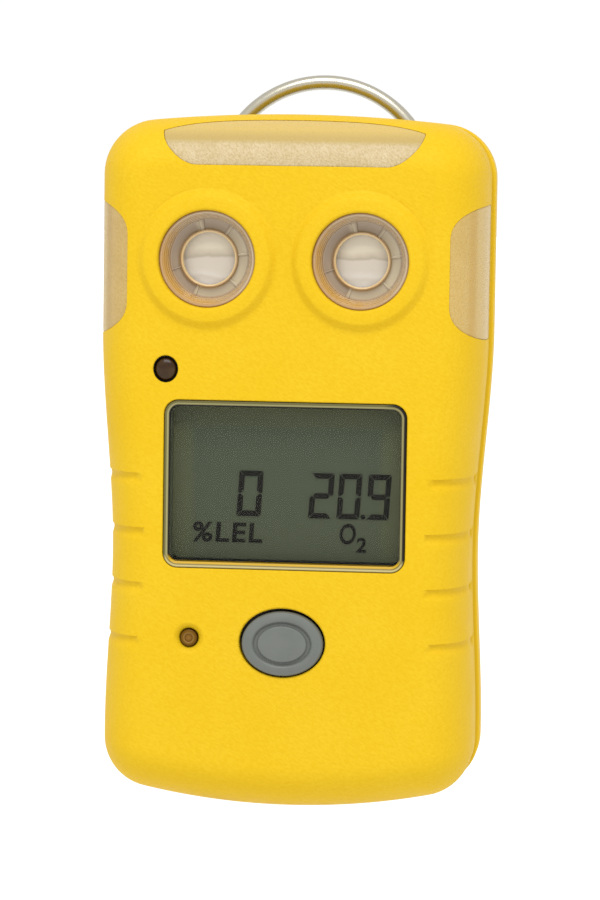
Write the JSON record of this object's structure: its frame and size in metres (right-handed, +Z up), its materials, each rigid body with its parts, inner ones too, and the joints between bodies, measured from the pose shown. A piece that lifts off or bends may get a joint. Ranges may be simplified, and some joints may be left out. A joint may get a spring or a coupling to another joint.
{
  "type": "portable gas detector",
  "caption": "Portable gas detector for the hand or a lanyard, with sensor ports, a display, a mode button, alarm lenses and a swinging wire ring on its back.",
  "frame": {"origin": "middle of the small flat foot that the detector stands on", "axes": "+Z up, from the foot to the top alarm lens and ring; +Y to the back; +X to the right as seen from the front"},
  "size_m": [0.0648, 0.0398, 0.1213],
  "materials": {
    "yellow_overmould": "satin rubber-coated moulding, fine grain",
    "frosted_lens": "clear plastic, stippled on its face",
    "amber_clear": "clear amber, polished",
    "filter_white": "porous sheet",
    "sensor_metal": "satin can",
    "seal_black": "matt",
    "clear_window": "clear, polished",
    "lcd_glass": "grey-green reflective panel",
    "light_guide": "clear, dotted back",
    "button_grey": "satin",
    "dark_lens": "dark brown, polished",
    "amber_led": "tinted, polished",
    "red_led": "tinted, polished",
    "board_green": "green solder mask",
    "black_plastic": "moulded",
    "battery_blue": "shrink sleeve",
    "steel": "bright drawn steel",
    "brass": "bright"
  },
  "bodies": {
    "body": {"backlight_plate": "light_guide", "battery": "battery_blue", "battery_tray": "black_plastic", "board_connector": "black_plastic", "bottom_left_board_screw": "steel", "bottom_left_case_screw": "steel", "bottom_right_board_screw": "steel", "bottom_right_case_screw": "steel", "button_switch": "black_plastic", "buzzer": "black_plastic", "combustible_gas_sensor": "sensor_metal", "display_gasket": "seal_black", "display_window": "clear_window", "front_shell": "yellow_overmould", "hanger_bracket": "steel", "infrared_port_lens": "dark_lens", "lcd_panel": "lcd_glass", "left_alarm_led": "red_led", "left_alarm_lens": "frosted_lens", "left_bracket_screw": "steel", "left_charging_contact": "brass", "left_sensor_cap": "amber_clear", "left_sensor_filter": "filter_white", "left_sensor_gasket": "seal_black", "lower_sensor_board_screw": "steel", "main_circuit_board": "board_green", "oxygen_sensor": "sensor_metal", "rear_shell": "yellow_overmould", "right_alarm_led": "red_led", "right_alarm_lens": "frosted_lens", "right_bracket_screw": "steel", "right_charging_contact": "brass", "right_sensor_cap": "amber_clear", "right_sensor_filter": "filter_white", "right_sensor_gasket": "seal_black", "sensor_circuit_board": "board_green", "shell_gasket": "seal_black", "status_led": "amber_led", "top_alarm_led": "red_led", "top_alarm_lens": "frosted_lens", "top_left_board_screw": "steel", "top_left_case_screw": "steel", "top_right_board_screw": "steel", "top_right_case_screw": "steel", "upper_sensor_board_screw": "steel", "vibration_motor": "steel"},
    "button": {"mode_button": "button_grey"},
    "ring": {"hanging_ring": "steel"},
    "motor_weight": {"eccentric_weight": "brass"}
  },
  "joints": [
    {"name": "button_press", "type": "slide", "parent": "body", "child": "button", "axis": [0, 1, 0], "range_m": [0, 0.0008], "stiffness_N_per_m": 1500},
    {"name": "ring_swing", "type": "hinge", "parent": "body", "child": "ring", "pos_m": [0.0021, 0.0193, 0.09825], "axis": [1, 0, 0], "range_deg": [-178, 0]},
    {"name": "weight_spin", "type": "hinge", "parent": "body", "child": "motor_weight", "pos_m": [-0.0182, -0.0042, 0.02425], "axis": [1, 0, 0], "continuous": true}
  ]
}
